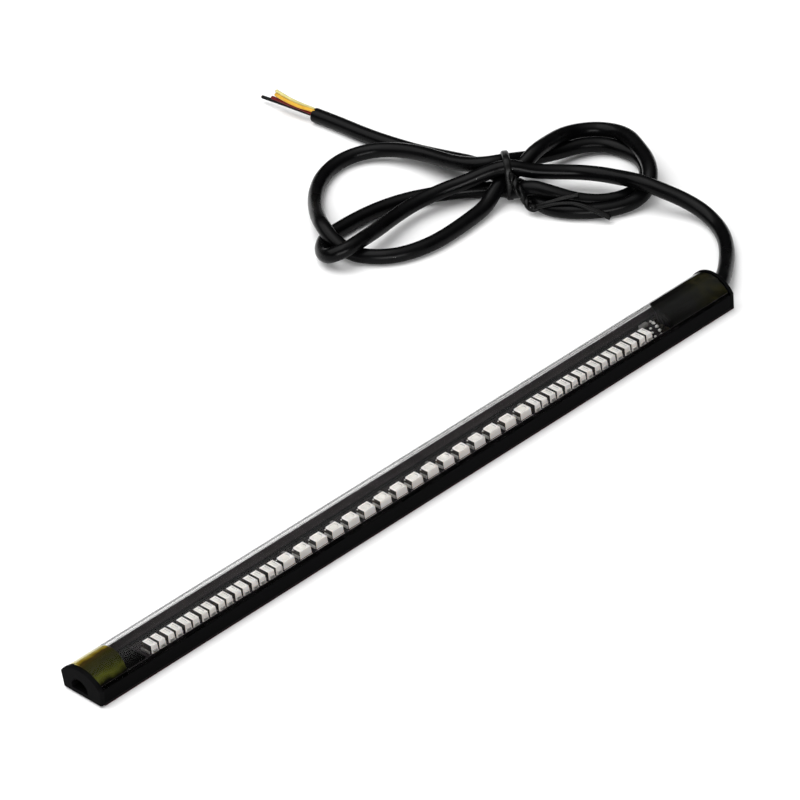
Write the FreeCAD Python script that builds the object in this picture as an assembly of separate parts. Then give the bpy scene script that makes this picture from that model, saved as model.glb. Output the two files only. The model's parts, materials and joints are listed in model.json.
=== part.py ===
import FreeCAD, Part
import math
import os

# LED tail light strip: a flexible black channel with a clear domed top, a
# circuit board with three groups of LEDs inside, sealed ends, adhesive tape
# underneath and a thin cable bundled into a figure of eight.
#
# Frame, millimetres: X along the strip (free end at -X, cable end at +X),
# Z up, origin on the resting face at the middle of the strip.

V = FreeCAD.Vector

# ---------------------------------------------------------------- dimensions
LENGTH = 200.0            # over both end caps
CAP_T = 1.0               # end cap thickness
LINER_T = 0.12            # release liner
TAPE_T = 0.35             # foam tape
TAPE_HALF = 6.05
LINER_HALF = 6.05
HALF_W = 6.2              # half width of the extruded body
FLOOR_T = 0.6             # channel floor
WALL_T = 1.1              # channel wall
SHOULDER_Z = 4.2          # top of the black walls, outside
WALL_LIP = 0.4            # rise of the wall top towards the inside
DOME_Z = 7.8              # top of the clear dome
DOME_T = 0.55             # dome thickness at its middle
# half width at the base and at the shoulder, shoulder height, top of the caps
CAP_ARCH = (6.2, 6.65, 4.3, 7.45)      # plain cap, a little under the dome
ENTRY_ARCH = (6.25, 6.35, 4.35, 8.0)   # cable cap
TAPE_BACK = 1.2           # tape and liner stop short of the plain cap
HOLE_W, HOLE_Z0, HOLE_Z1, HOLE_Y = 5.2, 1.5, 4.4, 0.6   # blanked cable hole

BOARD_T, BOARD_HALF = 0.3, 4.2
BOARD_X0, BOARD_X1 = -82.6, 84.0
SEAL_X = -90.2            # inner end of the free-end sealant
POT_X = 80.4              # inner end of the cable-end potting

# LEDs: 16 wide ones in the middle at 5 mm, 16 narrow ones in pairs each side
BIG_X0, BIG_PITCH, BIG_N = -39.7, 4.98, 16
BIG_L, BIG_B, BIG_H = 3.5, 2.8, 1.9
PAIR_PITCH, PAIR_IN, PAIR_N = 4.98, 2.3, 8
LEFT_X0, RIGHT_X0 = -80.15, 38.65
SM_L, SM_B, SM_H = 1.95, 3.2, 1.9
LED_TAPER = 0.12

CABLE_D = 3.8
EXIT_Y, EXIT_Z = -0.4, 3.35
WIRE_D = 1.3
TIE_W, TIE_T = 2.0, 0.5

# route of the cable where it lies free, from the cap to the bundle
LEAD = [(97.5, -1.2, 3.4), (102.5, 0.4, 3.3), (107.6, 3.9, 2.7), (112.9, 8.0, 2.05),
        (118.6, 13.6, 1.95), (123.1, 21.0, 1.98), (125.3, 28.2, 2.3), (124.9, 34.2, 4.1),
        (122.6, 39.4, 6.0)]
# from the bundle to the stripped end
TAIL = [(100.4, 113.4, 1.9), (99.7, 120.575, 1.9), (99.5, 128.2, 1.9), (98.9, 135.8, 1.9)]
WIRES = {
    "wire_black": [(-0.75, -0.55), (97.6, 142.4, 1.5), (97.5, 148.0, 1.65), (97.3, 153.9, 1.6)],
    "wire_red": [(-0.75, 0.85), (97.5, 141.6, 3.05), (97.6, 145.8, 3.2), (97.4, 150.2, 2.95)],
    "wire_yellow": [(0.65, 0.85), (99.0, 141.4, 3.6), (98.6, 145.4, 4.4), (97.6, 149.1, 4.65)],
    "wire_white": [(0.75, -0.55), (99.7, 142.0, 1.9), (99.7, 146.6, 2.7), (99.1, 150.6, 3.4)],
}

# plan lines of the bundled strands, with the height band each one fills
TIE_C = (104.4, 72.9)                 # where the tie holds the bundle
TIE_DIR = (-0.78, 0.6258)             # along the bundle, towards the left loop
STRANDS = [
    # outer turn of the right loop
    ([(108.8, 75.8), (113.0, 77.5), (119.0, 79.0), (124.9, 79.3), (130.7, 78.7), (135.7, 76.5), (138.7, 72.4),
      (139.3, 66.5), (137.2, 59.4), (133.4, 52.9), (128.5, 47.6), (122.7, 44.2), (117.2, 43.4), (112.4, 45.2),
      (108.3, 48.7), (104.8, 53.5), (103.0, 59.4), (102.0, 65.0), (102.6, 70.0)], 0.0, 3.9),
    # inner turn of the right loop
    ([(102.6, 70.4), (104.9, 65.9), (108.0, 60.4), (110.6, 54.4), (113.6, 49.6), (118.3, 46.9), (124.4, 48.0),
      (129.4, 52.1), (132.4, 57.9), (133.3, 63.8), (132.0, 68.7), (128.6, 72.1), (123.0, 73.1), (115.4, 73.3),
      (108.3, 75.1)], 0.0, 4.2),
    # large left loop
    ([(106.8, 76.6), (104.1, 80.1), (102.6, 86.5), (101.6, 93.0), (101.2, 100.0), (99.6, 106.3), (96.6, 110.7),
      (92.4, 113.9), (86.2, 114.6), (79.0, 112.5), (72.3, 108.0), (65.3, 100.2), (59.7, 91.9), (57.4, 86.1),
      (58.1, 82.0), (59.7, 78.6), (61.4, 74.9), (64.9, 71.7), (69.6, 69.9), (75.6, 68.6), (82.4, 68.5),
      (89.3, 69.5), (95.5, 70.8), (101.0, 72.2)], 0.0, 5.4),
    # strand from the tie down to the fold, lying on top
    ([(102.4, 74.4), (100.2, 75.8), (93.6, 77.6), (87.3, 79.9), (79.3, 81.1), (70.0, 80.0), (61.8, 78.1),
      (54.3, 77.2)], 3.6, 8.6),
    # strand back from the fold to the tie, on the floor
    ([(53.4, 87.4), (57.6, 90.6), (61.5, 91.0), (67.1, 91.6), (74.5, 91.2), (83.0, 88.9), (89.8, 85.5),
      (95.3, 80.2), (98.6, 75.5), (101.4, 71.6)], 0.0, 3.8),
    # the tight fold
    ([(55.6, 77.4), (51.4, 78.0), (49.6, 80.6), (51.2, 84.6), (54.2, 88.0)], 0.0, 8.6),
    # lead coming over the right loop to the tie
    ([(121.9, 42.0), (120.9, 45.4), (119.6, 50.0), (118.2, 54.6), (116.1, 59.4), (112.3, 64.2), (107.6, 68.7),
      (105.2, 72.0)], 3.6, 8.0),
    # tail leaving the tie behind the left loop
    ([(105.6, 75.2), (107.2, 80.0), (107.6, 85.7), (106.2, 91.8), (103.6, 98.4), (101.2, 105.2),
      (100.4, 113.4)], 0.0, 3.9),
]

os.makedirs("parts", exist_ok=True)
shapes = {}


def save(name, shape):
    shapes[name] = shape
    shape.exportStep("parts/" + name + ".step")
    print("%-26s solids %2d  valid %s  volume %.2f" % (name, len(shape.Solids), shape.isValid(), shape.Volume))


# ------------------------------------------------------------------- helpers
def box(x0, x1, y0, y1, z0, z1):
    return Part.makeBox(x1 - x0, y1 - y0, z1 - z0, V(x0, y0, z0))


def line(a, b):
    return Part.LineSegment(V(*a), V(*b)).toShape()


def arc(a, m, b):
    return Part.Arc(V(*a), V(*m), V(*b)).toShape()


def arch(x0, x1, foot, half, z0, shoulder, top):
    """Prism with a flat base, upright or leaning sides and an arched top."""
    w = Part.Wire([
        line((x0, -foot, z0), (x0, foot, z0)),
        line((x0, foot, z0), (x0, half, shoulder)),
        arc((x0, half, shoulder), (x0, 0, top), (x0, -half, shoulder)),
        line((x0, -half, shoulder), (x0, -foot, z0))])
    return Part.Face(w).extrude(V(x1 - x0, 0, 0))


def lens_prism(x0, x1):
    """Clear arch that stands on the two walls."""
    hi, zi = HALF_W - WALL_T, SHOULDER_Z + WALL_LIP
    w = Part.Wire([
        line((x0, hi, zi), (x0, HALF_W, SHOULDER_Z)),
        arc((x0, HALF_W, SHOULDER_Z), (x0, 0, DOME_Z), (x0, -HALF_W, SHOULDER_Z)),
        line((x0, -HALF_W, SHOULDER_Z), (x0, -hi, zi)),
        arc((x0, -hi, zi), (x0, 0, DOME_Z - DOME_T), (x0, hi, zi))])
    return Part.Face(w).extrude(V(x1 - x0, 0, 0))


def cavity(x0, x1):
    hi = HALF_W - WALL_T
    return arch(x0, x1, hi, hi, LINER_T + TAPE_T + FLOOR_T, SHOULDER_Z + WALL_LIP, DOME_Z - DOME_T)


def d_prism(x0, x1):
    """D-shaped prism of the blanked cable hole."""
    h = HOLE_W / 2.0
    zs = HOLE_Z0 + 1.1
    w = Part.Wire([
        line((x0, HOLE_Y - h, HOLE_Z0), (x0, HOLE_Y + h, HOLE_Z0)),
        line((x0, HOLE_Y + h, HOLE_Z0), (x0, HOLE_Y + h, zs)),
        arc((x0, HOLE_Y + h, zs), (x0, HOLE_Y, HOLE_Z1), (x0, HOLE_Y - h, zs)),
        line((x0, HOLE_Y - h, zs), (x0, HOLE_Y - h, HOLE_Z0))])
    return Part.Face(w).extrude(V(x1 - x0, 0, 0))


def route_wire(points, label):
    """Straight runs joined by tangent arcs, each as large as its runs allow."""
    p = [V(*q) for q in points]
    edges, start, radii = [], p[0], []
    for i in range(1, len(p) - 1):
        u = (p[i] - p[i - 1]).normalize()
        w = (p[i + 1] - p[i]).normalize()
        turn = u.getAngle(w)
        run = min((p[i] - p[i - 1]).Length, (p[i + 1] - p[i]).Length)
        t = 0.45 * run
        r = t / math.tan(turn / 2.0)
        a, b = p[i] - u * t, p[i] + w * t
        bis = (w - u).normalize()
        centre = p[i] + bis * (r / math.cos(turn / 2.0))
        edges.append(Part.LineSegment(start, a).toShape())
        edges.append(Part.Arc(a, centre - bis * r, b).toShape())
        radii.append(round(r, 1))
        start = b
    edges.append(Part.LineSegment(start, p[-1]).toShape())
    print("   radii of", label, radii)
    return Part.Wire(edges)


def tube(points, diameter, label):
    path = route_wire(points, label)
    d = V(*points[1]) - V(*points[0])
    disc = Part.Face(Part.Wire([Part.makeCircle(diameter / 2.0, V(*points[0]), d)]))
    s = path.makePipe(disc)
    if s.ShapeType != "Solid":
        s = s.Solids[0]
    print("   %s: volume %.2f, section times length %.2f, length %.1f"
          % (label, s.Volume, math.pi * diameter ** 2 / 4.0 * path.Length, path.Length))
    return s


def strip_prism(points, width, z0, z1):
    """Upright ribbon of the given width along a plan line."""
    n = len(points)
    left, right = [], []
    for i in range(n):
        ax, ay = points[max(i - 1, 0)]
        bx, by = points[min(i + 1, n - 1)]
        dx, dy = bx - ax, by - ay
        k = math.hypot(dx, dy)
        nx, ny = -dy / k, dx / k
        x, y = points[i]
        left.append(V(x + nx * width / 2.0, y + ny * width / 2.0, z0))
        right.append(V(x - nx * width / 2.0, y - ny * width / 2.0, z0))
    loop = left + right[::-1]
    w = Part.makePolygon(loop + [loop[0]])
    return Part.Face(w).extrude(V(0, 0, z1 - z0))


def group(solids):
    return Part.makeCompound(solids)


# --------------------------------------------------------- tape and extrusion
z_tape = LINER_T
z_base = LINER_T + TAPE_T
z_floor = z_base + FLOOR_T
z_board = z_floor + BOARD_T
x0, x1 = -LENGTH / 2.0 + CAP_T, LENGTH / 2.0 - CAP_T
inner = HALF_W - WALL_T

tape_x0, tape_x1 = -LENGTH / 2.0 + TAPE_BACK, LENGTH / 2.0
save("tape_liner", box(tape_x0, tape_x1, -LINER_HALF, LINER_HALF, 0.0, LINER_T))
save("adhesive_tape", box(tape_x0, tape_x1, -TAPE_HALF, TAPE_HALF, z_tape, z_base))

z_lip = SHOULDER_Z + WALL_LIP
section = [(-HALF_W, z_base), (HALF_W, z_base), (HALF_W, SHOULDER_Z), (inner, z_lip), (inner, z_floor),
           (-inner, z_floor), (-inner, z_lip), (-HALF_W, SHOULDER_Z)]
loop = [V(x0, y, z) for y, z in section]
channel = Part.Face(Part.makePolygon(loop + [loop[0]])).extrude(V(x1 - x0, 0, 0))
long_low = [e for e in channel.Edges
            if e.Length > LENGTH / 2.0 and abs(e.CenterOfMass.z - z_base) < 1e-6]
channel = channel.makeFillet(0.35, long_low)
save("base_channel", channel)

save("lens_cover", lens_prism(x0, x1))

# ------------------------------------------------------------------ end caps
def cap_blank(a, b, outer_x, outline, rounding):
    foot, half, shoulder, top = outline
    c = arch(a, b, foot, half, z_base, shoulder, top)
    rim = [e for e in c.Edges
           if abs(e.BoundBox.XMin - outer_x) < 1e-6 and abs(e.BoundBox.XMax - outer_x) < 1e-6
           and e.BoundBox.ZMax > z_base + 1.0]
    return c.makeFillet(rounding, rim)


save("end_cap", cap_blank(-LENGTH / 2.0, x0, -LENGTH / 2.0, CAP_ARCH, 0.5).cut(d_prism(-LENGTH, x0 + 1)))

entry_x = 88.0
entry = Part.makeCylinder(CABLE_D / 2.0, LENGTH / 2.0 - entry_x, V(entry_x, EXIT_Y, EXIT_Z), V(1, 0, 0))
bore = Part.makeCylinder(CABLE_D / 2.0, 4.0, V(x1 - 1.5, EXIT_Y, EXIT_Z), V(1, 0, 0))
save("cable_end_cap", cap_blank(x1, LENGTH / 2.0, LENGTH / 2.0, ENTRY_ARCH, 0.35).cut(bore))
save("cable_entry", entry)

# --------------------------------------------------------------------- board
board = box(BOARD_X0, BOARD_X1, -BOARD_HALF, BOARD_HALF, z_floor, z_board)
save("circuit_board", board)


def led(xc, lx, by, h, round_window):
    """White package with tapered sides, its window and its two terminals."""
    zt = z_board + h
    lead_h, lead_t = 0.75, 0.14
    b0 = [V(xc - lx / 2, -by / 2, z_board), V(xc + lx / 2, -by / 2, z_board),
          V(xc + lx / 2, by / 2, z_board), V(xc - lx / 2, by / 2, z_board)]
    k = LED_TAPER
    b1 = [V(xc - lx / 2 + k, -by / 2 + k, zt), V(xc + lx / 2 - k, -by / 2 + k, zt),
          V(xc + lx / 2 - k, by / 2 - k, zt), V(xc - lx / 2 + k, by / 2 - k, zt)]
    body = Part.makeLoft([Part.makePolygon(b0 + [b0[0]]), Part.makePolygon(b1 + [b1[0]])], True, True)
    if round_window:
        # round reflector, and one corner cut off as the polarity mark
        win = Part.makeCone(1.0, 1.15, 0.6, V(xc, 0, zt - 0.6))
        corner = Part.Face(Part.makePolygon([
            V(xc - lx / 2 - 0.1, by / 2 - 0.75, zt - 0.55), V(xc - lx / 2 + 0.85, by / 2 + 0.1, zt - 0.55),
            V(xc - lx / 2 - 0.1, by / 2 + 0.1, zt - 0.55), V(xc - lx / 2 - 0.1, by / 2 - 0.75, zt - 0.55)])
        ).extrude(V(0, 0, 1.0))
        body = body.cut(corner)
        leads = [box(xc - lx / 2 - lead_t, xc - lx / 2 + 0.4, -1.1, 1.1, z_board, z_board + lead_h),
                 box(xc + lx / 2 - 0.4, xc + lx / 2 + lead_t, -1.1, 1.1, z_board, z_board + lead_h)]
    else:
        slot = box(xc - 0.45, xc + 0.45, -by / 2 + 0.5, by / 2 - 0.5, zt - 0.5, zt)
        win = slot.makeFillet(0.4, [e for e in slot.Edges if abs(e.Length - 0.5) < 1e-6])
        leads = [box(xc - 0.55, xc + 0.55, -by / 2 - lead_t - 0.1, -by / 2 + 0.35, z_board, z_board + lead_h),
                 box(xc - 0.55, xc + 0.55, by / 2 - 0.35, by / 2 + lead_t + 0.1, z_board, z_board + lead_h)]
    body = body.cut(win)
    for q in leads:
        body = body.cut(q)
    # window resin stops a little below the rim
    fill = win.common(box(xc - 5, xc + 5, -5, 5, zt - 1.0, zt - 0.08))
    return body, fill, leads


def led_group(name, xs, lx, by, h, round_window):
    bodies, fills, leads = [], [], []
    for xc in xs:
        b, f, q = led(xc, lx, by, h, round_window)
        bodies += b.Solids
        fills += f.Solids
        leads += q
    save(name + "_led_bodies", group(bodies))
    save(name + "_led_windows", group(fills))
    save(name + "_led_terminals", group(leads))


def pair_xs(start):
    xs = []
    for i in range(PAIR_N):
        xs += [start + i * PAIR_PITCH, start + i * PAIR_PITCH + PAIR_IN]
    return xs


left_xs, right_xs = pair_xs(LEFT_X0), pair_xs(RIGHT_X0)
big_xs = [BIG_X0 + i * BIG_PITCH for i in range(BIG_N)]
led_group("left_turn", left_xs, SM_L, SM_B, SM_H, False)
led_group("brake", big_xs, BIG_L, BIG_B, BIG_H, True)
led_group("right_turn", right_xs, SM_L, SM_B, SM_H, False)


def resistors(xs):
    out = []
    for xc in xs:
        out.append(box(xc - 0.19, xc + 0.19, -1.3, 1.3, z_board, z_board + 0.55))
    return group(out)


gap = (PAIR_PITCH - PAIR_IN) / 2.0
save("left_turn_resistors", resistors([LEFT_X0 + i * PAIR_PITCH - gap for i in range(PAIR_N)]))
save("right_turn_resistors", resistors([RIGHT_X0 + i * PAIR_PITCH + PAIR_IN + gap for i in range(PAIR_N)]))
save("brake_resistors", group([box(BIG_X0 + (i + 0.5) * BIG_PITCH - 0.4, BIG_X0 + (i + 0.5) * BIG_PITCH + 0.4,
                                   2.0, 3.6, z_board, z_board + 0.45) for i in range(0, BIG_N, 3)]))
save("protection_diode", box(78.0, 80.3, 3.0, 4.05, z_board, z_board + 0.8))

# cable soldered to the end of the board: a slanted row of four joints, and the
# smaller ones of the parts beside it
pads = [(79.4, -2.2), (80.4, -0.6), (81.2, 1.1), (81.8, 2.8)]
small_pads = [(77.9, -1.5), (78.6, 0.1), (79.7, 1.7), (81.9, 3.85)]
joints = [Part.makeSphere(0.5, V(x, y, z_board), V(0, 0, 1), 0, 90, 360) for x, y in pads]
core = []
for i, (x, y) in enumerate(pads):
    oy, oz = [(-0.85, -0.55), (-0.6, 0.85), (0.6, 0.85), (0.85, -0.55)][i]
    a = V(x + 0.2, y, z_board + 0.6)
    b = V(entry_x + 1.0, EXIT_Y + oy, EXIT_Z + oz)
    rod = Part.makeCylinder(0.5, (b - a).Length, a, b - a)
    core.append(rod.cut(box(entry_x, entry_x + 5.0, -5.0, 5.0, 0.0, 8.0)))
joints = [j.cut(group(core)) for j in joints]
joints += [Part.makeSphere(0.34, V(x, y, z_board), V(0, 0, 1), 0, 90, 360) for x, y in small_pads]
save("cable_solder_joints", group([s for j in joints for s in j.Solids]))
save("cable_core_leads", group(core))

# ------------------------------------------------------------ sealed ends
def nose(x_end, sign, depth, r, yc, lean):
    """Bulged inner face of a filling, set back by the lean at its foot."""
    axis = V(x_end + sign * (r + lean), yc, 0.0)
    cyl = Part.makeCylinder(r, 14.0, axis, V(-sign * lean, 0.0, 7.0))
    a, b = sorted([x_end + sign * (r + lean), x_end + sign * depth])
    return cyl.fuse(box(a, b, -7.5, 7.5, 0.0, 12.0))


seal = cavity(x0, SEAL_X).common(nose(SEAL_X, -1, 34.0, 22.0, 1.0, 0.5)).cut(d_prism(x0 - 1, x0 + 3.5))
save("end_sealant", seal)

pot = cavity(POT_X, x1).common(nose(POT_X, 1, 22.0, 7.5, -1.3, 2.4))
for cutter in [entry, board] + core:
    pot = pot.cut(cutter)
save("cable_end_potting", pot)

# --------------------------------------------------------------------- cable
lead = tube(LEAD, CABLE_D, "cable_lead")
# it starts at the outer face of the cap
lead = lead.cut(box(80.0, LENGTH / 2.0, -20.0, 20.0, -5.0, 15.0))
save("cable_lead", lead)
tail = tube(TAIL, CABLE_D, "cable_tail")
save("cable_tail", tail)

# bundle: the strands as upright ribbons, joined where they cross
hank = None
for pts, za, zb in STRANDS:
    r = strip_prism(pts, CABLE_D, za, zb)
    hank = r if hank is None else hank.fuse(r)
# the lead runs straight on into the bundle
p_in, d_in = V(*LEAD[-1]), (V(*LEAD[-1]) - V(*LEAD[-2])).normalize()
hank = hank.fuse(Part.makeCylinder(CABLE_D / 2.0, 4.6, p_in, d_in))

ux, uy = TIE_DIR
ang = math.degrees(math.atan2(uy, ux))


def tie_box(length, width, za, zb):
    b = Part.makeBox(length, width, zb - za, V(-length / 2.0, -width / 2.0, za))
    b.rotate(V(0, 0, 0), V(0, 0, 1), ang)
    b.translate(V(TIE_C[0], TIE_C[1], 0))
    return b


core_w, core_z0, core_z1 = 12.2, TIE_T, 8.6
waist = tie_box(10.0, core_w, core_z0, core_z1)
band_out = tie_box(TIE_W, core_w + 2 * TIE_T, 0.0, core_z1 + TIE_T)
band_in = tie_box(TIE_W, core_w, core_z0, core_z1)
hank = hank.fuse(waist)
hank = hank.cut(band_out).fuse(band_in).removeSplitter()
save("cable_hank", hank)

# tie: a band round the bundle, its two ends twisted together and laid over
# the lower strands
nx, ny = uy, -ux                      # across the bundle, away from the viewer
def on_tie(along, across, z):
    return (TIE_C[0] + ux * along + nx * across, TIE_C[1] + uy * along + ny * across, z)


band = band_out.cut(band_in)
ear = tie_box(1.6, 1.6, core_z1 + TIE_T - 0.01, core_z1 + TIE_T + 1.0)
start = (TIE_C[0], TIE_C[1], core_z1 + TIE_T + 0.5)
tie_tail = [start, (104.5, 68.6, 9.6), (104.8, 64.2, 8.9), (105.2, 59.4, 7.2), (107.0, 54.4, 5.6), (109.4, 49.8, 5.2),
            (111.4, 45.0, 5.2)]
tie = band.fuse(ear).fuse(tube(tie_tail, 1.5, "tie ends"))
tie = tie.cut(hank)
tie = max(tie.Solids, key=lambda s: s.Volume)
save("twist_tie", tie)

# ------------------------------------------------------------ stripped wires
end_p = V(*TAIL[-1])
end_d = (V(*TAIL[-1]) - V(*TAIL[-2])).normalize()
side = V(end_d.y, -end_d.x, 0.0).normalize()
for name, data in WIRES.items():
    off = data[0]
    s = end_p + side * off[0] + V(0, 0, off[1])
    first = s + end_d * 2.4
    pts = [(s.x, s.y, s.z), (first.x, first.y, first.z)] + list(data[1:])
    save(name, tube(pts, WIRE_D, name))
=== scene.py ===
import json
import math

import bmesh
import bpy
from mathutils import Matrix, Vector, noise


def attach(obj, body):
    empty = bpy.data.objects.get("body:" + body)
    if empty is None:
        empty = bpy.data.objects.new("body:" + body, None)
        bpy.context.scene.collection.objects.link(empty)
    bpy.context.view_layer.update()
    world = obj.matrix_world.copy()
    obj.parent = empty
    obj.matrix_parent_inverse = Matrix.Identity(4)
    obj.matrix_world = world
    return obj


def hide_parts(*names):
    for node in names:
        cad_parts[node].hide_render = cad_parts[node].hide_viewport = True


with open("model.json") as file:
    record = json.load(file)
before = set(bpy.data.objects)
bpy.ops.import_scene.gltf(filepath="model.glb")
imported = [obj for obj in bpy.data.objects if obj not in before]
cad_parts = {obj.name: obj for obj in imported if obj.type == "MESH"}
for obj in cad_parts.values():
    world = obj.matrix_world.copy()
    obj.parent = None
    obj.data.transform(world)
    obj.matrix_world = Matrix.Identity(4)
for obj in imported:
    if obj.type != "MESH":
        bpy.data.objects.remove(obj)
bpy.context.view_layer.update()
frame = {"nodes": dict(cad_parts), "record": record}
nodes = frame["nodes"]
scene = bpy.context.scene
MM = 0.001

# ------------------------------------------------------------------- camera
AZ, EL, ROLL = math.radians(-41.085), math.radians(33.468), math.radians(-5.917)
back = Vector((math.sin(AZ) * math.cos(EL), -math.cos(AZ) * math.cos(EL), math.sin(EL)))
right0 = Vector((math.cos(AZ), math.sin(AZ), 0.0))
up0 = back.cross(right0)
right = right0 * math.cos(ROLL) + up0 * math.sin(ROLL)
up = up0 * math.cos(ROLL) - right0 * math.sin(ROLL)
eye = Vector((0.023536, 0.028456, 0.0)) + back * 1.213563
cam_data = bpy.data.cameras.new("camera")
cam_data.sensor_width = 36.0
cam_data.lens = 5249.758 * 36.0 / 800.0
cam_data.clip_start = 0.05
cam_data.clip_end = 50.0
cam = bpy.data.objects.new("camera", cam_data)
scene.collection.objects.link(cam)
cam.matrix_world = Matrix((
    (right.x, up.x, back.x, eye.x),
    (right.y, up.y, back.y, eye.y),
    (right.z, up.z, back.z, eye.z),
    (0.0, 0.0, 0.0, 1.0)))
scene.camera = cam

# ---------------------------------------------------------------- materials


def material(name, base, roughness, specular=0.5, **sockets):
    """A material with one principled shader; the sockets are set directly."""
    m = bpy.data.materials.new(name)
    m.use_nodes = True
    bsdf = m.node_tree.nodes["Principled BSDF"]
    bsdf.inputs["Base Color"].default_value = (*base, 1.0)
    bsdf.inputs["Roughness"].default_value = roughness
    bsdf.inputs["Specular IOR Level"].default_value = specular
    for key, value in sockets.items():
        bsdf.inputs[key.replace("_", " ")].default_value = value
    m.diffuse_color = (*base, 1.0)
    return m, m.node_tree.nodes, m.node_tree.links, bsdf


def coords(n, l, stretch=(1.0, 1.0, 1.0)):
    tc = n.new("ShaderNodeTexCoord")
    mp = n.new("ShaderNodeMapping")
    mp.inputs["Scale"].default_value = stretch
    l.new(tc.outputs["Object"], mp.inputs["Vector"])
    return mp.outputs["Vector"]


def noise_tex(n, l, vec, scale, detail=3.0, rough=0.55):
    t = n.new("ShaderNodeTexNoise")
    t.inputs["Scale"].default_value = scale
    t.inputs["Detail"].default_value = detail
    t.inputs["Roughness"].default_value = rough
    l.new(vec, t.inputs["Vector"])
    return t.outputs["Fac"]


def ramp(n, l, fac, stops):
    r = n.new("ShaderNodeValToRGB")
    els = r.color_ramp.elements
    while len(els) < len(stops):
        els.new(0.5)
    for e, (pos, col) in zip(els, stops):
        e.position = pos
        e.color = (*col, 1.0)
    l.new(fac, r.inputs["Fac"])
    return r.outputs["Color"]


def spread(n, l, fac, lo, hi, a=0.3, b=0.7):
    r = n.new("ShaderNodeMapRange")
    r.inputs["From Min"].default_value = a
    r.inputs["From Max"].default_value = b
    r.inputs["To Min"].default_value = lo
    r.inputs["To Max"].default_value = hi
    l.new(fac, r.inputs["Value"])
    return r.outputs["Result"]


def bump(n, l, bsdf, fac, strength, distance):
    b = n.new("ShaderNodeBump")
    b.inputs["Strength"].default_value = strength
    b.inputs["Distance"].default_value = distance
    l.new(fac, b.inputs["Height"])
    l.new(b.outputs["Normal"], bsdf.inputs["Normal"])


def grained(name, dark, light, rough_lo, rough_hi, scale, bump_scale, bump_strength, bump_mm,
            specular=0.5, stretch=(1.0, 1.0, 1.0), **sockets):
    """Moulded plastic or rubber: mottled colour and gloss and a fine grain."""
    m, n, l, b = material(name, light, rough_hi, specular, **sockets)
    v = coords(n, l, stretch)
    f = noise_tex(n, l, v, scale)
    l.new(ramp(n, l, f, [(0.3, dark), (0.7, light)]), b.inputs["Base Color"])
    l.new(spread(n, l, f, rough_lo, rough_hi), b.inputs["Roughness"])
    g = noise_tex(n, l, v, bump_scale, 4.0)
    bump(n, l, b, g, bump_strength, bump_mm * MM)
    return m


MAT = {}
MAT["liner"] = grained("release film", (0.035, 0.002, 0.004), (0.075, 0.004, 0.007), 0.3, 0.45, 260, 900, 0.15, 0.05,
                       specular=0.15)
MAT["tape"] = grained("foam tape", (0.004, 0.004, 0.004), (0.010, 0.010, 0.010), 0.75, 0.95, 900, 3200, 0.7, 0.15,
                      specular=0.05)
MAT["black_cap"] = grained("moulded cap", (0.0014, 0.0014, 0.0015), (0.0030, 0.0030, 0.0032), 0.5, 0.66, 500, 2600,
                           0.3, 0.06, specular=0.015)
MAT["cable_jacket"] = grained("cable sheath", (0.0008, 0.0008, 0.0009), (0.0018, 0.0018, 0.0020), 0.22, 0.32, 160,
                              1800, 0.14, 0.05, specular=0.075)
MAT["board"] = grained("solder mask", (0.0059, 0.0045, 0.0052), (0.0133, 0.0106, 0.0118), 0.45, 0.6, 300, 1500, 0.1, 0.03,
                       specular=0.2)
MAT["led_window"] = grained("LED resin", (0.84, 0.80, 0.74), (0.93, 0.90, 0.86), 0.15, 0.3, 700, 1800, 0.1, 0.03,
                            Coat_Weight=0.3, Coat_Roughness=0.12)
MAT["terminal"] = grained("tinned metal", (0.55, 0.54, 0.52), (0.88, 0.87, 0.85), 0.25, 0.45, 1100, 2600, 0.3, 0.04,
                          Metallic=0.4)
MAT["chip"] = grained("chip body", (0.11, 0.105, 0.10), (0.22, 0.21, 0.205), 0.4, 0.6, 900, 2600, 0.2, 0.03)
MAT["core_lead"] = grained("core insulation", (0.012, 0.010, 0.007), (0.030, 0.022, 0.012), 0.35, 0.5, 300, 1800, 0.1,
                           0.03, specular=0.2)
MAT["tie"] = grained("coated tie wire", (0.0015, 0.0015, 0.0015), (0.0035, 0.0035, 0.0035), 0.25, 0.4, 500, 1500, 0.2, 0.05,
                     specular=0.12)
MAT["wire_black"] = grained("wire insulation black", (0.002, 0.002, 0.002), (0.0045, 0.0045, 0.0045), 0.3, 0.45, 500,
                            2000, 0.15, 0.03, specular=0.1)
MAT["wire_red"] = grained("wire insulation red", (0.060, 0.002, 0.002), (0.11, 0.004, 0.004), 0.3, 0.45, 500, 2000,
                          0.15, 0.03, specular=0.12)
MAT["wire_yellow"] = grained("wire insulation yellow", (0.46, 0.25, 0.02), (0.58, 0.34, 0.04), 0.3, 0.45, 500, 2000,
                             0.15, 0.03, specular=0.12)
MAT["wire_white"] = grained("wire insulation white", (0.46, 0.42, 0.16), (0.58, 0.54, 0.24), 0.3, 0.45, 500, 2000,
                            0.15, 0.03, specular=0.12)
MAT["copper"] = grained("copper strands", (0.35, 0.15, 0.07), (0.80, 0.42, 0.25), 0.25, 0.45, 2400, 5200, 0.8, 0.1,
                        Metallic=1.0)


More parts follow.
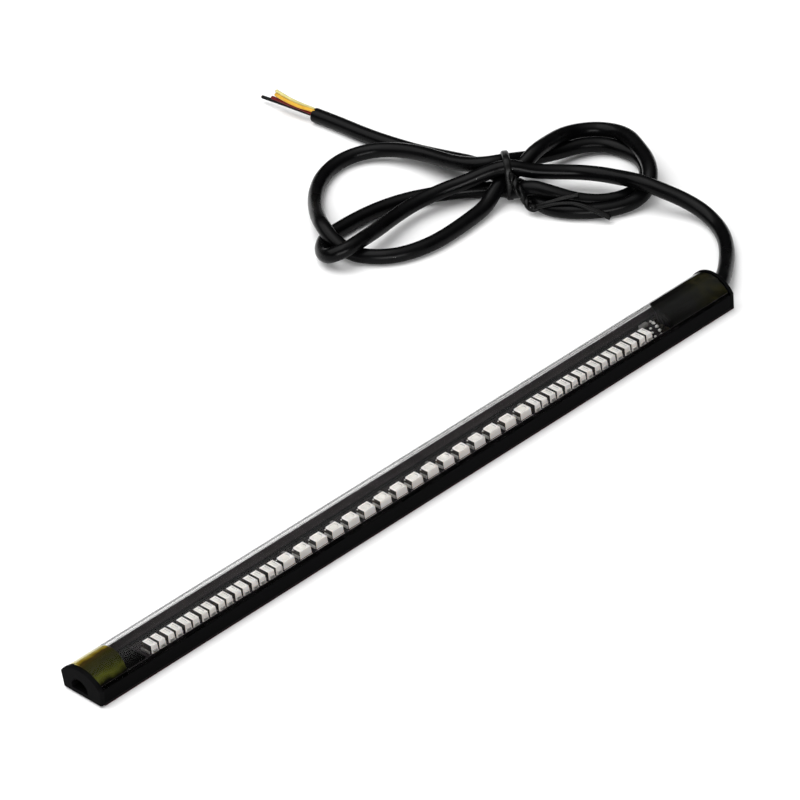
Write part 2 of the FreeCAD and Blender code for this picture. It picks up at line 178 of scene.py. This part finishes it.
def clear_dome():
    """Clear flexible plastic with faint flow lines along the extrusion."""
    m, n, l, b = material("clear dome", (0.97, 0.97, 0.965), 0.03, 0.5, Transmission_Weight=1.0, IOR=1.43)
    b.inputs["Specular Tint"].default_value = (0.22, 0.22, 0.22, 1.0)
    v = coords(n, l, (0.05, 1.0, 1.0))
    f = noise_tex(n, l, v, 260, 3.0)
    l.new(ramp(n, l, f, [(0.3, (0.975, 0.975, 0.97)), (0.7, (0.995, 0.995, 0.99))]), b.inputs["Base Color"])
    l.new(spread(n, l, f, 0.015, 0.05), b.inputs["Roughness"])
    bump(n, l, b, noise_tex(n, l, v, 420, 2.0), 0.05, 0.05 * MM)
    return m


def blend(n, l, fac, a, colour):
    """The colour a, going over to the given one."""
    mx = n.new("ShaderNodeMix")
    mx.data_type = "RGBA"
    l.new(fac, mx.inputs["Factor"])
    l.new(a, mx.inputs[6])
    l.new(ramp(n, l, fac, [(0.0, tuple(0.85 * c for c in colour)), (1.0, colour)]), mx.inputs[7])
    return mx.outputs[2]


def led_white():
    """White moulded package with painted shade on its faces turned towards -X and a painted glow on its front faces."""
    m, n, l, b = material("LED package", (0.93, 0.90, 0.87), 0.5, 0.3, Subsurface_Weight=0.8,
                          Subsurface_Radius=(1.2, 1.1, 1.0), Subsurface_Scale=0.0009)
    v = coords(n, l)
    f = noise_tex(n, l, v, 420)
    white = ramp(n, l, f, [(0.3, (0.945, 0.875, 0.82)), (0.7, (0.985, 0.93, 0.885))])
    geo = n.new("ShaderNodeNewGeometry")
    sep = n.new("ShaderNodeSeparateXYZ")
    l.new(geo.outputs["True Normal"], sep.inputs["Vector"])
    # painted shade: faces turned towards -X go over to a dark brown, standing in for the shade on that side of the
    # package
    side = spread(n, l, sep.outputs["X"], 1.0, 0.0, -0.9, -0.6)
    l.new(blend(n, l, side, white, (0.045, 0.036, 0.030)), b.inputs["Base Color"])
    # painted light: a faint warm glow on the faces turned to the front, which lightens them as if they were lit from
    # the front
    l.new(spread(n, l, sep.outputs["Y"], 0.28, 0.0, -0.9, -0.6), b.inputs["Emission Strength"])
    b.inputs["Emission Color"].default_value = (1.0, 0.92, 0.86, 1.0)
    l.new(spread(n, l, f, 0.45, 0.6), b.inputs["Roughness"])
    bump(n, l, b, noise_tex(n, l, v, 2200, 4.0), 0.12, 0.03 * MM)
    return m


def extruded_black():
    """Satin black extrusion, with painted light making the inner faces of its walls a lighter grey."""
    m, n, l, b = material("extruded black", (0.002, 0.002, 0.002), 0.5, 0.012)
    v = coords(n, l)
    sv = coords(n, l, (0.12, 1.0, 1.0))
    f = noise_tex(n, l, sv, 120)
    black = ramp(n, l, f, [(0.3, (0.0011, 0.0011, 0.0012)), (0.7, (0.0022, 0.0022, 0.0024))])
    sep = n.new("ShaderNodeSeparateXYZ")
    l.new(v, sep.inputs["Vector"])
    ab = n.new("ShaderNodeMath")
    ab.operation = "ABSOLUTE"
    l.new(sep.outputs["Y"], ab.inputs[0])
    # painted light: the inner faces of the walls, above the channel floor, go over to a lighter purplish grey
    inside = spread(n, l, ab.outputs[0], 1.0, 0.0, 0.0051, 0.0054)
    above = spread(n, l, sep.outputs["Z"], 0.0, 1.0, 0.0014, 0.0020)
    wall = n.new("ShaderNodeMath")
    wall.operation = "MULTIPLY"
    l.new(inside, wall.inputs[0])
    l.new(above, wall.inputs[1])
    l.new(blend(n, l, wall.outputs[0], black, (0.052, 0.044, 0.047)), b.inputs["Base Color"])
    l.new(spread(n, l, f, 0.42, 0.58), b.inputs["Roughness"])
    bump(n, l, b, noise_tex(n, l, sv, 1500, 4.0), 0.12, 0.04 * MM)
    return m


def across_strip(n, l, v, f, mix):
    """0 at the front wall, 1 at the rear wall, made uneven by a noise."""
    sep = n.new("ShaderNodeSeparateXYZ")
    l.new(v, sep.inputs["Vector"])
    y = spread(n, l, sep.outputs["Y"], 0.0, 1.0, -0.0051, 0.0051)
    off = spread(n, l, f, -mix, mix, 0.25, 0.75)
    add = n.new("ShaderNodeMath")
    add.operation = "ADD"
    l.new(y, add.inputs[0])
    l.new(off, add.inputs[1])
    return add.outputs[0]


def end_glue():
    """Yellowed translucent glue: dark olive in the middle, with painted light as bright yellow towards its rear edge
    and painted shade as near black below about 4.5 mm.
    """
    m, n, l, b = material("end glue", (0.03, 0.028, 0.006), 0.4, 0.04)
    v = coords(n, l)
    f = noise_tex(n, l, v, 300, 3.0)
    k = across_strip(n, l, v, f, 0.05)
    sep = n.new("ShaderNodeSeparateXYZ")
    l.new(v, sep.inputs["Vector"])
    # painted shade: below about 4.5 mm the glue is painted near black
    above_painted_shade = spread(n, l, sep.outputs["Z"], 0.0, 1.0, 0.0045, 0.0049)
    glow_and_shade_fac = n.new("ShaderNodeMath")
    glow_and_shade_fac.operation = "MULTIPLY"
    l.new(k, glow_and_shade_fac.inputs[0])
    l.new(above_painted_shade, glow_and_shade_fac.inputs[1])
    # near black at the front edge and in the painted shade, a lighter olive band near the front, dark olive across the
    # middle, and painted light going over to bright yellow at the rear edge
    l.new(ramp(n, l, glow_and_shade_fac.outputs[0], [(0.0, (0.001, 0.001, 0.0008)), (0.10, (0.080, 0.085, 0.010)), (0.22, (0.024, 0.0255, 0.0002)),
                         (0.50, (0.026, 0.0225, 0.0004)), (0.62, (0.050, 0.030, 0.003)), (0.70, (0.30, 0.21, 0.015)),
                         (0.82, (0.74, 0.66, 0.22))]), b.inputs["Base Color"])
    bump(n, l, b, noise_tex(n, l, v, 700, 3.0), 0.2, 0.08 * MM)
    return m


def dark_resin():
    """Nearly black olive filling, faintly yellow towards the cap."""
    m, n, l, b = material("dark resin", (0.012, 0.012, 0.008), 0.4, 0.03)
    v = coords(n, l)
    f = noise_tex(n, l, v, 330, 4.0, 0.6)
    sep = n.new("ShaderNodeSeparateXYZ")
    l.new(v, sep.inputs["Vector"])
    near_cap = spread(n, l, sep.outputs["X"], -0.32, 0.12, 0.086, 0.094)
    add = n.new("ShaderNodeMath")
    add.operation = "ADD"
    l.new(f, add.inputs[0])
    l.new(near_cap, add.inputs[1])
    l.new(ramp(n, l, add.outputs[0], [(0.10, (0.0030, 0.0030, 0.0026)), (0.32, (0.0042, 0.0042, 0.0036)),
                                      (0.52, (0.0058, 0.0058, 0.0026)), (0.66, (0.012, 0.011, 0.003)),
                                      (0.80, (0.024, 0.0215, 0.008))]), b.inputs["Base Color"])
    l.new(spread(n, l, f, 0.35, 0.55), b.inputs["Roughness"])
    bump(n, l, b, noise_tex(n, l, v, 500, 3.0), 0.25, 0.1 * MM)
    return m


MAT["clear_dome"] = clear_dome()
MAT["led_package"] = led_white()
MAT["black_body"] = extruded_black()
MAT["sealant"] = end_glue()
MAT["potting"] = dark_resin()

SLOT = {s["node"]: s["material_slot"] for s in frame["record"]["subparts"]}
for name, obj in nodes.items():
    obj.data.materials.clear()
    obj.data.materials.append(MAT[SLOT[name]])

# ------------------------------------------------------------------ helpers


def smooth(o):
    for p in o.data.polygons:
        p.use_smooth = True


def add_mesh(name, bm, mats, flat=False):
    me = bpy.data.meshes.new(name)
    bm.normal_update()
    bm.to_mesh(me)
    bm.free()
    o = bpy.data.objects.new(name, me)
    scene.collection.objects.link(o)
    for m in mats:
        me.materials.append(m)
    if not flat:
        smooth(o)
    return o


def nurbs(name, points, cyclic=False):
    """Smooth curve led by control points given in millimetres."""
    cu = bpy.data.curves.new(name, "CURVE")
    cu.dimensions = "3D"
    sp = cu.splines.new("NURBS")
    sp.points.add(len(points) - 1)
    for q, p in zip(sp.points, points):
        q.co = (p[0] * MM, p[1] * MM, p[2] * MM, 1.0)
    sp.use_cyclic_u = cyclic
    sp.order_u = 3
    sp.use_endpoint_u = not cyclic
    cu.resolution_u = 10
    o = bpy.data.objects.new(name, cu)
    scene.collection.objects.link(o)
    return o


def line_of(points, resolution=10, cyclic=False):
    """The points along such a curve."""
    o = nurbs("line", points, cyclic)
    o.data.resolution_u = resolution
    bpy.context.view_layer.update()
    me = bpy.data.meshes.new_from_object(o)
    out = [v.co.copy() for v in me.vertices]
    bpy.data.meshes.remove(me)
    cu = o.data
    bpy.data.objects.remove(o)
    bpy.data.curves.remove(cu)
    return out


def frames(line, closed, across):
    """Tangent and two cross directions at each point; the first stays near the given direction."""
    out = []
    n = len(line)
    for i in range(n):
        a = line[(i - 1) % n] if closed else line[max(i - 1, 0)]
        b = line[(i + 1) % n] if closed else line[min(i + 1, n - 1)]
        t = (b - a).normalized()
        ref = across[i] if isinstance(across, list) else across
        side = (ref - t * ref.dot(t)).normalized()
        out.append((t, side, t.cross(side)))
    return out


def flat_section(width, thick, steps=3):
    """Outline of a flat strip with rounded edges."""
    r = thick / 2.0
    pts = []
    for sx in (1, -1):
        for k in range(-steps, steps + 1):
            a = math.pi / 2.0 * k / steps
            pts.append((sx * (width / 2.0 - r) + sx * r * math.cos(a), sx * r * math.sin(a)))
    return pts


def round_section(r, n=14):
    return [(r * math.cos(2 * math.pi * k / n), r * math.sin(2 * math.pi * k / n)) for k in range(n)]


def sweep(bm, line, section, across, closed=False, sizes=None, mat=0):
    """Runs a section along a line; the section's first axis follows the given direction."""
    rings = []
    for i, (p, (t, s, u)) in enumerate(zip(line, frames(line, closed, across))):
        k = sizes[i] if sizes else 1.0
        rings.append([bm.verts.new(p + s * (x * k) + u * (y * k)) for x, y in section])
    m = len(section)
    count = len(rings) if closed else len(rings) - 1
    for i in range(count):
        a, b = rings[i], rings[(i + 1) % len(rings)]
        for j in range(m):
            f = bm.faces.new((a[j], a[(j + 1) % m], b[(j + 1) % m], b[j]))
            f.material_index = mat
    if not closed:
        bm.faces.new(rings[0][::-1]).material_index = mat
        bm.faces.new(rings[-1]).material_index = mat
    return rings


# --------------------------------------------------------------------- cord
# control points from the cap, over the right loop, through the tie, round the
# figure of eight and on to the stripped end
CORD = [
    (99.6, -0.5, 3.4), (102.4, 0.0, 3.4), (107.1, 3.3, 2.7), (112.0, 7.2, 2.0), (116.4, 11.2, 1.9),
    (120.2, 15.8, 1.9), (122.9, 20.9, 2.0), (124.0, 26.3, 3.0), (123.3, 31.8, 4.4), (121.4, 37.6, 5.9),
    (119.9, 43.0, 6.9), (119.5, 49.0, 5.9), (118.6, 54.8, 5.2), (116.1, 59.8, 5.1), (112.2, 64.0, 5.5),
    (107.4, 67.5, 6.7), (103.5, 71.1, 8.8), (100.2, 74.9, 7.3), (95.5, 78.3, 5.4), (90.4, 81.1, 4.5),
    (84.9, 82.8, 3.9), (79.1, 83.0, 3.8), (73.1, 82.1, 4.1), (67.1, 80.7, 4.6), (61.2, 79.2, 5.6),
    (56.6, 78.9, 5.6), (53.2, 80.7, 4.6), (53.0, 84.2, 2.9), (55.8, 88.4, 2.0), (60.1, 91.4, 1.9),
    (66.2, 91.6, 1.9), (72.3, 91.4, 1.9), (78.2, 90.4, 1.9), (83.9, 88.5, 1.9), (89.1, 85.6, 1.9),
    (93.8, 81.9, 1.9), (98.4, 77.7, 2.0), (102.3, 73.4, 1.9), (102.5, 68.8, 2.6), (103.4, 64.0, 5.6),
    (105.5, 58.9, 4.7), (108.3, 54.0, 3.2), (112.3, 49.9, 2.1), (117.0, 46.8, 1.9), (122.3, 46.2, 1.9),
    (127.4, 48.1, 1.9), (131.5, 51.9, 1.9), (134.0, 56.9, 1.9), (134.3, 62.4, 1.9), (132.6, 67.5, 2.3),
    (128.6, 71.0, 2.7), (123.1, 72.8, 2.9), (117.3, 73.6, 4.0), (111.4, 74.6, 5.6), (105.6, 75.4, 7.5),
    (101.9, 77.8, 7.5), (100.2, 83.1, 6.3), (99.8, 89.0, 5.3), (99.8, 95.2, 4.6), (99.1, 101.1, 4.0),
    (97.5, 106.8, 3.2), (94.5, 111.3, 2.6), (89.9, 114.1, 2.1), (84.4, 114.4, 1.9), (79.0, 112.6, 1.9),
    (74.1, 109.4, 1.9), (69.8, 105.3, 2.5), (65.9, 100.8, 3.5), (62.2, 95.9, 4.8), (59.2, 91.1, 5.8),
    (57.9, 86.3, 4.2), (58.6, 81.1, 2.0), (60.8, 76.1, 1.9), (64.6, 72.0, 1.9), (69.8, 69.7, 1.9),
    (75.5, 68.7, 1.9), (81.6, 68.8, 1.9), (87.7, 69.3, 2.0), (93.9, 70.2, 2.0), (98.9, 71.5, 4.0),
    (103.6, 72.6, 5.0), (108.3, 71.4, 6.3), (112.9, 71.4, 8.3), (118.9, 72.7, 7.5), (124.6, 74.1, 6.3),
    (130.0, 74.0, 5.0), (134.4, 71.4, 4.4), (136.3, 66.7, 4.6), (135.4, 61.4, 5.6), (133.0, 55.8, 5.7),
    (130.3, 50.4, 5.7), (126.8, 45.7, 5.4), (122.7, 42.8, 3.6), (117.7, 42.7, 2.2), (112.6, 44.9, 1.9),
    (108.1, 48.6, 1.9), (104.6, 53.3, 1.9), (102.8, 58.4, 1.9), (104.2, 63.6, 1.9), (106.5, 69.2, 1.9),
    (105.5, 74.1, 1.9), (103.8, 78.1, 4.7), (103.7, 83.9, 4.7), (103.4, 90.0, 3.6), (103.0, 96.1, 2.6),
    (102.1, 102.2, 2.0), (101.1, 108.3, 1.9), (100.2, 114.4, 1.9), (99.7, 120.6, 1.9), (99.5, 126.9, 1.9),
    (99.1, 133.2, 1.9), (98.9, 135.4, 1.9),
]
cord = nurbs("cable", CORD)
cord.data.bevel_depth = 1.9 * MM
cord.data.bevel_resolution = 6
cord.data.use_fill_caps = True
cord.data.materials.append(MAT["cable_jacket"])

# cut end of the sheath: a rim with the filling set back inside it
end_dir = Vector((-0.09, 0.996, 0.0)).normalized()
end_at = Vector((98.9, 135.35, 1.9)) * MM
bm = bmesh.new()
side = Vector((end_dir.y, -end_dir.x, 0.0))
upv = Vector((0.0, 0.0, 1.0))
profile = [(-0.3, 1.905), (0.46, 1.905), (0.54, 1.88), (0.58, 1.80), (0.56, 1.5), (0.2, 1.42), (0.12, 0.8), (0.1, 0.05)]
prev = None
for along, r in profile:
    ring = []
    for k in range(28):
        a = 2 * math.pi * k / 28
        wob = 0.05 * noise.noise(Vector((math.cos(a) * 2.1, math.sin(a) * 2.1, 4.0))) if along > 0.3 else 0.0
        ring.append(bm.verts.new(end_at + end_dir * ((along + wob) * MM)
                                 + (side * math.cos(a) + upv * math.sin(a)) * (r * MM)))
    if prev:
        for k in range(28):
            bm.faces.new((prev[k], prev[(k + 1) % 28], ring[(k + 1) % 28], ring[k]))
    prev = ring
bm.faces.new(prev)
bmesh.ops.recalc_face_normals(bm, faces=bm.faces)
jacket_cut = add_mesh("sheath_cut_end", bm, [MAT["cable_jacket"]])

# ------------------------------------------------------------ stripped wires
WIRES = {
    "wire_black": [(99.1, 134.6, 1.7), (98.7, 137.8, 1.65), (98.3, 141.6, 1.7), (97.9, 145.8, 1.75),
                   (97.5, 150.1, 1.7), (97.2, 153.7, 1.6)],
    "wire_red": [(98.5, 134.6, 2.4), (98.2, 137.4, 2.6), (97.8, 141.0, 2.75), (97.5, 144.9, 2.75),
                 (97.4, 147.6, 2.75), (97.3, 150.0, 2.7)],
    "wire_yellow": [(98.6, 134.6, 3.2), (98.3, 136.9, 3.45), (97.3, 139.2, 3.75), (96.7, 142.3, 4.2),
                    (96.6, 145.5, 4.5), (96.8, 147.9, 4.55)],
    "wire_white": [(99.6, 134.6, 2.8), (99.2, 137.3, 3.15), (98.5, 140.1, 3.55), (97.8, 143.1, 4.15),
                   (97.6, 145.9, 4.65), (97.7, 148.5, 4.95)],
}
for name, pts in WIRES.items():
    line = line_of(pts, 10)
    bm = bmesh.new()
    R = 0.46 * MM
    rings = sweep(bm, line, round_section(R, 16), upv, mat=0)
    # bare strands just showing at the cut
    t = (line[-1] - line[-2]).normalized()
    s = (upv - t * upv.dot(t)).normalized()
    w = t.cross(s)
    for k in range(7):
        a = 2 * math.pi * k / 6
        r = 0.0 if k == 6 else 0.2 * MM
        c = line[-1] + s * (r * math.cos(a)) + w * (r * math.sin(a))
        reach = 0.28 + 0.1 * noise.noise(Vector((k * 3.1, len(name), 0.5)))
        sweep(bm, [c - t * 0.2 * MM, c + t * 0.5 * reach * MM, c + t * reach * MM], round_section(0.095 * MM, 8), upv,
              sizes=[1.0, 1.0, 0.8], mat=1)
    o = add_mesh("strands_" + name, bm, [MAT[name], MAT["copper"]])
    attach(o, "root")
    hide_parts(name)

# ---------------------------------------------------------------- twist tie
TIE_AXIS = Vector((-0.78, 0.6258, 0.0))
BAND = [
    (101.1, 68.8, 2.4), (101.1, 68.8, 4.0), (101.5, 69.3, 6.4), (101.9, 69.8, 8.7), (102.6, 70.6, 10.1),
    (103.5, 71.8, 10.6), (104.9, 73.5, 10.2), (106.5, 75.5, 9.5), (107.5, 76.7, 8.6), (107.8, 77.2, 7.0),
    (107.6, 76.9, 5.2), (107.1, 76.3, 2.6), (106.7, 75.7, 1.15), (105.7, 74.5, 0.52), (103.9, 72.3, 0.52),
    (102.4, 70.4, 0.52), (101.5, 69.2, 1.15),
]
TWIST = [(101.9, 68.9, 8.0), (101.8, 67.8, 6.7), (100.6, 65.7, 5.9), (100.5, 64.3, 4.7), (101.2, 63.9, 2.9),
         (100.7, 62.4, 2.3), (100.4, 61.0, 2.0), (100.6, 59.6, 2.4)]
LONG_END = [(100.6, 60.2, 2.2), (101.3, 57.9, 3.2), (103.5, 54.8, 4.1), (105.7, 52.2, 4.2), (106.8, 49.2, 4.0),
            (107.9, 46.3, 3.1), (108.9, 44.4, 2.2), (109.4, 43.0, 1.6)]
SHORT_END = [(100.8, 60.7, 2.2), (101.5, 58.4, 3.6), (103.0, 56.6, 4.2), (104.9, 55.4, 4.6), (106.7, 53.8, 5.0),
             (108.5, 52.5, 5.1)]

bm = bmesh.new()
ring = line_of(BAND, 6, cyclic=True)
sweep(bm, ring, flat_section(1.85 * MM, 1.05 * MM), TIE_AXIS, closed=True)
axis = line_of(TWIST, 12)
fr = frames(axis, False, upv)
dist = 0.0
for k in (0, 1):
    strand, lean, dist = [], [], 0.0
    for i, (p, (t, s, u)) in enumerate(zip(axis, fr)):
        if i:
            dist += (p - axis[i - 1]).length
        a = 2 * math.pi * dist / (5.6 * MM) + math.pi * k
        out = s * math.cos(a) + u * math.sin(a)
        strand.append(p + out * (0.62 * MM))
        lean.append(t.cross(out))
    sweep(bm, strand, flat_section(1.25 * MM, 0.8 * MM), lean)
for pts, width in ((LONG_END, 1.45), (SHORT_END, 1.2)):
    line = line_of(pts, 8)
    flat = []
    for i, p in enumerate(line):
        a, b = line[max(i - 1, 0)], line[min(i + 1, len(line) - 1)]
        t = (b - a).normalized()
        tilt = 0.5 * math.sin(6.0 * i / len(line))
        level = t.cross(upv).normalized()
        flat.append(level * math.cos(tilt) + upv * math.sin(tilt))
    sweep(bm, line, flat_section(width * MM, 0.6 * MM), flat)
    # the wire core makes a raised rib along the middle
    sweep(bm, [p + upv * (0.16 * MM) for p in line], round_section(0.36 * MM, 8), upv)
bmesh.ops.recalc_face_normals(bm, faces=bm.faces)
tie = add_mesh("tie_with_twisted_ends", bm, [MAT["tie"]])
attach(tie, "root")
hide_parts("twist_tie")

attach(jacket_cut, "root")
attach(cord, "root")
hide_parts("cable_lead", "cable_hank", "cable_tail")

# ------------------------------------------- fillings, wetted onto the dome


def swollen(name, node, amount, ripple, mat):
    """The filling with an uneven skin that presses into the wall it was poured against."""
    bm = bmesh.new()
    bm.from_mesh(nodes[node].data)
    bmesh.ops.remove_doubles(bm, verts=bm.verts, dist=1e-6)
    bm.normal_update()
    for v in bm.verts:
        k = noise.noise(v.co * 450.0)
        v.co += v.normal * (amount + ripple * k) * MM
    o = add_mesh(name, bm, [mat], flat=True)
    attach(o, "root")
    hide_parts(node)
    return o


glue = swollen("poured_end_glue", "end_sealant", 0.06, 0.02, MAT["sealant"])
resin = swollen("poured_dark_resin", "cable_end_potting", 0.06, 0.02, MAT["potting"])

# --------------------------------------------------------------- clear dome


def arc_points(half, base, top, n):
    """Points over an arch from one foot to the other, in millimetres."""
    rise = top - base
    r = (half * half + rise * rise) / (2.0 * rise)
    a0 = math.asin(half / r)
    return [(r * math.sin(a0 * (2.0 * i / n - 1.0)), top - r + r * math.cos(a0 * (2.0 * i / n - 1.0)))
            for i in range(n + 1)]


outline = arc_points(6.2, 4.2, 7.8, 128) + arc_points(5.1, 4.6, 7.25, 128)[::-1]
bm = bmesh.new()
rows = [[bm.verts.new((x * MM, y * MM, z * MM)) for y, z in outline] for x in range(-99, 100, 6)]
m = len(outline)
for a, b in zip(rows, rows[1:]):
    for j in range(m):
        bm.faces.new((a[j], a[(j + 1) % m], b[(j + 1) % m], b[j]))
for row in (rows[0], rows[-1]):
    for j in range(128):
        bm.faces.new((row[j], row[j + 1], row[m - 2 - j], row[m - 1 - j]))
bmesh.ops.recalc_face_normals(bm, faces=bm.faces)
dome = add_mesh("clear_dome_shell", bm, [MAT["clear_dome"]])
dome.data.set_sharp_from_angle(angle=math.radians(40.0))
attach(dome, "root")
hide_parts("lens_cover")

# -------------------------------------------------------------------- stage
fm, fn, fl, fb = material("floor", (0.93, 0.93, 0.93), 0.7, 0.2)
fv = coords(fn, fl)
fl.new(ramp(fn, fl, noise_tex(fn, fl, fv, 6.0), [(0.3, (0.925, 0.925, 0.925)), (0.7, (0.94, 0.94, 0.94))]),
       fb.inputs["Base Color"])
bm = bmesh.new()
q = 4.0
bm.faces.new([bm.verts.new((x, y, -0.00005)) for x, y in ((-q, -q), (q, -q), (q, q), (-q, q))])
floor = add_mesh("floor", bm, [fm], flat=True)

world = bpy.data.worlds.new("studio")
scene.world = world
world.use_nodes = True
wn, wl = world.node_tree.nodes, world.node_tree.links
bg = wn["Background"]
# bright above, dim towards the far walls
wc = wn.new("ShaderNodeTexCoord")
ws = wn.new("ShaderNodeSeparateXYZ")
wl.new(wc.outputs["Generated"], ws.inputs["Vector"])
wl.new(ramp(wn, wl, ws.outputs["Z"], [(0.0, (0.012, 0.012, 0.012)), (0.35, (0.03, 0.03, 0.03)), (0.62, (0.12, 0.12, 0.12)),
                                      (0.80, (0.50, 0.50, 0.50)), (1.0, (2.0, 2.0, 2.0))]), bg.inputs["Color"])
bg.inputs["Strength"].default_value = 1.0


def area(name, at, to, sx, sy, power):
    d = bpy.data.lights.new(name, "AREA")
    d.shape = "RECTANGLE"
    d.size, d.size_y = sx, sy
    d.energy = power
    o = bpy.data.objects.new(name, d)
    scene.collection.objects.link(o)
    o.location = at
    o.rotation_euler = (Vector(to) - Vector(at)).to_track_quat("-Z", "Y").to_euler()
    return o


area("top softbox", (-0.36, 0.50, 1.02), (0.02, 0.05, 0.0), 1.5, 1.4, 15.5)
area("front softbox", (-1.5, -2.0, 0.55), (0.0, 0.02, 0.0), 2.4, 1.0, 75.0)

scene.view_settings.view_transform = "Standard"
scene.view_settings.look = "None"
